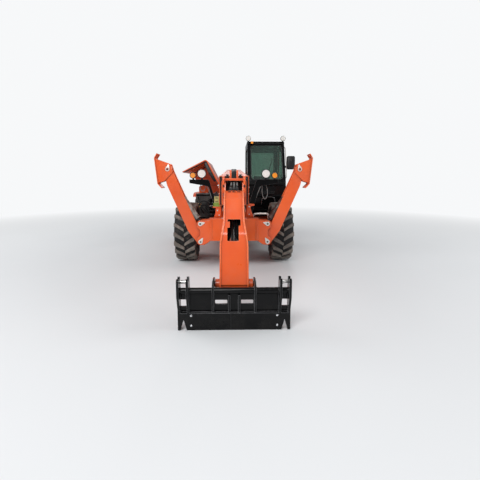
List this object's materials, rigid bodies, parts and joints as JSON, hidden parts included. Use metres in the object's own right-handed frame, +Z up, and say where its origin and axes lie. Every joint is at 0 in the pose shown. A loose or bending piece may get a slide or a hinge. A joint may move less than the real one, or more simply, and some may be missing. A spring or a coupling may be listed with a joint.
{
  "type": "telehandler",
  "caption": "Wheeled telescopic handler with a side cab, a three-section boom, a quick tool carriage and two front stabilisers.",
  "frame": {"origin": "on the ground below the middle of the bounding box", "axes": "+Z up, the machine faces -Y, +X is its left side, where the cab stands"},
  "size_m": [2.734, 7.2, 2.6283],
  "materials": {
    "orange_paint": "glossy orange-red paint",
    "black_paint": "glossy black paint",
    "cab_glass": "green tinted glass",
    "dark_iron": "dark painted casting",
    "lamp_lens": "clear ribbed lens",
    "cylinder_paint": "grey-brown, dusty",
    "chromed_rod": "chromed rod",
    "seat_vinyl": "black vinyl",
    "pin_steel": "bare steel pin",
    "rim_paint": "orange paint",
    "amber_lens": "amber lens",
    "tyre_rubber": "matte dusty rubber"
  },
  "bodies": {
    "chassis": {"cab_boom_side_wall": "black_paint", "cab_door_side_wall": "black_paint", "cab_floor": "black_paint", "cab_front_wall": "black_paint", "cab_glass": "cab_glass", "cab_rear_wall": "black_paint", "cab_roof": "black_paint", "counterweight": "black_paint", "engine_bay": "orange_paint", "engine_block": "dark_iron", "front_axle": "dark_iron", "fuel_tank": "black_paint", "headlamp_lenses": "lamp_lens", "headlamp_stands": "black_paint", "hydraulic_tank": "orange_paint", "main_frame": "orange_paint", "mirror": "black_paint", "operator_seat": "seat_vinyl", "pivot_pins": "pin_steel", "rear_axle": "dark_iron", "rear_fenders": "orange_paint", "signal_lenses": "amber_lens", "stabiliser_beam": "orange_paint", "steering_console": "black_paint", "valve_bank": "black_paint"},
    "boom_outer": {"outer_boom": "orange_paint"},
    "boom_middle": {"middle_boom": "orange_paint"},
    "boom_inner": {"inner_boom": "orange_paint", "boom_neck": "orange_paint"},
    "tool_carriage": {"carriage": "black_paint"},
    "lift_barrel": {"lift_cylinder_barrel": "cylinder_paint"},
    "lift_rod": {"lift_cylinder_rod": "chromed_rod"},
    "tilt_barrel": {"tilt_cylinder_barrel": "cylinder_paint"},
    "tilt_rod": {"tilt_cylinder_rod": "chromed_rod"},
    "cab_door": {"cab_door_frame": "orange_paint", "cab_door_glass": "cab_glass"},
    "hood": {"engine_hood": "orange_paint"},
    "stabiliser_left": {"stabiliser_arm_left": "orange_paint"},
    "stabiliser_foot_left": {"stabiliser_pad_left": "orange_paint"},
    "stabiliser_barrel_left": {"stabiliser_cylinder_barrel_left": "cylinder_paint"},
    "stabiliser_rod_left": {"stabiliser_cylinder_rod_left": "chromed_rod"},
    "front_left_knuckle": {"knuckle_front_left": "dark_iron"},
    "front_left_wheel": {"rim_front_left": "rim_paint", "tyre_front_left": "tyre_rubber"},
    "rear_left_knuckle": {"knuckle_rear_left": "dark_iron"},
    "rear_left_wheel": {"rim_rear_left": "rim_paint", "tyre_rear_left": "tyre_rubber"},
    "stabiliser_right": {"stabiliser_arm_right": "orange_paint"},
    "stabiliser_foot_right": {"stabiliser_pad_right": "orange_paint"},
    "stabiliser_barrel_right": {"stabiliser_cylinder_barrel_right": "cylinder_paint"},
    "stabiliser_rod_right": {"stabiliser_cylinder_rod_right": "chromed_rod"},
    "front_right_knuckle": {"knuckle_front_right": "dark_iron"},
    "front_right_wheel": {"rim_front_right": "rim_paint", "tyre_front_right": "tyre_rubber"},
    "rear_right_knuckle": {"knuckle_rear_right": "dark_iron"},
    "rear_right_wheel": {"rim_rear_right": "rim_paint", "tyre_rear_right": "tyre_rubber"}
  },
  "joints": [
    {"name": "boom_lift", "type": "hinge", "parent": "chassis", "child": "boom_outer", "pos_m": [0, 2.85, 1.75], "axis": [-1, 0, 0], "range_deg": [0, 62]},
    {"name": "lift_barrel_swing", "type": "hinge", "parent": "chassis", "child": "lift_barrel", "pos_m": [0, 2.15, 0.85], "axis": [-1, 0, 0], "range_deg": [-1, 57.26]},
    {"name": "lift_rod_stroke", "type": "slide", "parent": "lift_barrel", "child": "lift_rod", "axis": [0, -0.9409, 0.3387], "range_m": [-0.005, 1.1629]},
    {"name": "boom_extend", "type": "slide", "parent": "boom_outer", "child": "boom_middle", "axis": [0, -0.9983, -0.059], "range_m": [0, 3.2]},
    {"name": "boom_extend_inner", "type": "slide", "parent": "boom_middle", "child": "boom_inner", "axis": [0, -0.9983, -0.059], "range_m": [0, 3.2]},
    {"name": "carriage_tilt", "type": "hinge", "parent": "boom_inner", "child": "tool_carriage", "pos_m": [0, -3.315, 0.434], "axis": [1, 0, 0], "range_deg": [-15, 105]},
    {"name": "tilt_barrel_swing", "type": "hinge", "parent": "boom_inner", "child": "tilt_barrel", "pos_m": [0, -2.79, 1.22], "axis": [1, 0, 0], "range_deg": [-7.12, 1.87]},
    {"name": "tilt_rod_stroke", "type": "slide", "parent": "tilt_barrel", "child": "tilt_rod", "axis": [0, -0.3827, -0.9239], "range_m": [-0.262, 0.0417]},
    {"name": "stabiliser_left_swing", "type": "hinge", "parent": "chassis", "child": "stabiliser_left", "pos_m": [0.591, -1.29, 0.536], "axis": [0, 1, 0], "range_deg": [0, 84]},
    {"name": "stabiliser_pad_left_tilt", "type": "hinge", "parent": "stabiliser_left", "child": "stabiliser_foot_left", "pos_m": [1.14588, -1.29, 1.80608], "axis": [0, 1, 0], "range_deg": [-20, 0]},
    {"name": "stabiliser_barrel_left_swing", "type": "hinge", "parent": "chassis", "child": "stabiliser_barrel_left", "pos_m": [0.591, -1.29, 0.855], "axis": [0, 1, 0], "range_deg": [-1, 89.73]},
    {"name": "stabiliser_rod_left_stroke", "type": "slide", "parent": "stabiliser_barrel_left", "child": "stabiliser_rod_left", "axis": [0.5725, 0, 0.8199], "range_m": [-0.005, 0.4248]},
    {"name": "stabiliser_right_swing", "type": "hinge", "parent": "chassis", "child": "stabiliser_right", "pos_m": [-0.591, -1.29, 0.536], "axis": [0, -1, 0], "range_deg": [0, 84]},
    {"name": "stabiliser_pad_right_tilt", "type": "hinge", "parent": "stabiliser_right", "child": "stabiliser_foot_right", "pos_m": [-1.14588, -1.29, 1.80608], "axis": [0, -1, 0], "range_deg": [-20, 0]},
    {"name": "stabiliser_barrel_right_swing", "type": "hinge", "parent": "chassis", "child": "stabiliser_barrel_right", "pos_m": [-0.591, -1.29, 0.855], "axis": [0, -1, 0], "range_deg": [-1, 89.73]},
    {"name": "stabiliser_rod_right_stroke", "type": "slide", "parent": "stabiliser_barrel_right", "child": "stabiliser_rod_right", "axis": [-0.5725, 0, 0.8199], "range_m": [-0.005, 0.4248]},
    {"name": "front_left_steer", "type": "hinge", "parent": "chassis", "child": "front_left_knuckle", "pos_m": [0.778, -0.49, 0.5875], "axis": [0, 0, 1], "range_deg": [-35, 35]},
    {"name": "front_left_roll", "type": "hinge", "parent": "front_left_knuckle", "child": "front_left_wheel", "pos_m": [0.942, -0.49, 0.5875], "axis": [1, 0, 0], "continuous": true},
    {"name": "front_right_steer", "type": "hinge", "parent": "chassis", "child": "front_right_knuckle", "pos_m": [-0.778, -0.49, 0.5875], "axis": [0, 0, 1], "range_deg": [-35, 35]},
    {"name": "front_right_roll", "type": "hinge", "parent": "front_right_knuckle", "child": "front_right_wheel", "pos_m": [-0.942, -0.49, 0.5875], "axis": [1, 0, 0], "continuous": true},
    {"name": "rear_left_steer", "type": "hinge", "parent": "chassis", "child": "rear_left_knuckle", "pos_m": [0.778, 2.46, 0.5875], "axis": [0, 0, 1], "range_deg": [-35, 35]},
    {"name": "rear_left_roll", "type": "hinge", "parent": "rear_left_knuckle", "child": "rear_left_wheel", "pos_m": [0.942, 2.46, 0.5875], "axis": [1, 0, 0], "continuous": true},
    {"name": "rear_right_steer", "type": "hinge", "parent": "chassis", "child": "rear_right_knuckle", "pos_m": [-0.778, 2.46, 0.5875], "axis": [0, 0, 1], "range_deg": [-35, 35]},
    {"name": "rear_right_roll", "type": "hinge", "parent": "rear_right_knuckle", "child": "rear_right_wheel", "pos_m": [-0.942, 2.46, 0.5875], "axis": [1, 0, 0], "continuous": true},
    {"name": "cab_door_swing", "type": "hinge", "parent": "chassis", "child": "cab_door", "pos_m": [1.168, 1.092, 1.6], "axis": [0, 0, 1], "range_deg": [0, 100]},
    {"name": "engine_hood_lift", "type": "hinge", "parent": "chassis", "child": "hood", "pos_m": [-0.32, 0.96, 1.515], "axis": [0, 1, 0], "range_deg": [-62.9, 5]}
  ],
  "couplings": [
    {"joint": "lift_barrel_swing", "follows": "boom_lift", "ratio": 0.90737},
    {"joint": "lift_rod_stroke", "follows": "boom_lift", "m_per_rad": 1.07},
    {"joint": "boom_extend_inner", "follows": "boom_extend", "ratio": 1},
    {"joint": "tilt_barrel_swing", "follows": "carriage_tilt", "ratio": -0.05828},
    {"joint": "tilt_rod_stroke", "follows": "carriage_tilt", "m_per_rad": -0.14026},
    {"joint": "stabiliser_barrel_left_swing", "follows": "stabiliser_left_swing", "ratio": 1.0563},
    {"joint": "stabiliser_rod_left_stroke", "follows": "stabiliser_left_swing", "m_per_rad": 0.28636},
    {"joint": "stabiliser_barrel_right_swing", "follows": "stabiliser_right_swing", "ratio": 1.0563},
    {"joint": "stabiliser_rod_right_stroke", "follows": "stabiliser_right_swing", "m_per_rad": 0.28636},
    {"joint": "front_right_steer", "follows": "front_left_steer", "ratio": 1},
    {"joint": "rear_right_steer", "follows": "rear_left_steer", "ratio": 1}
  ]
}
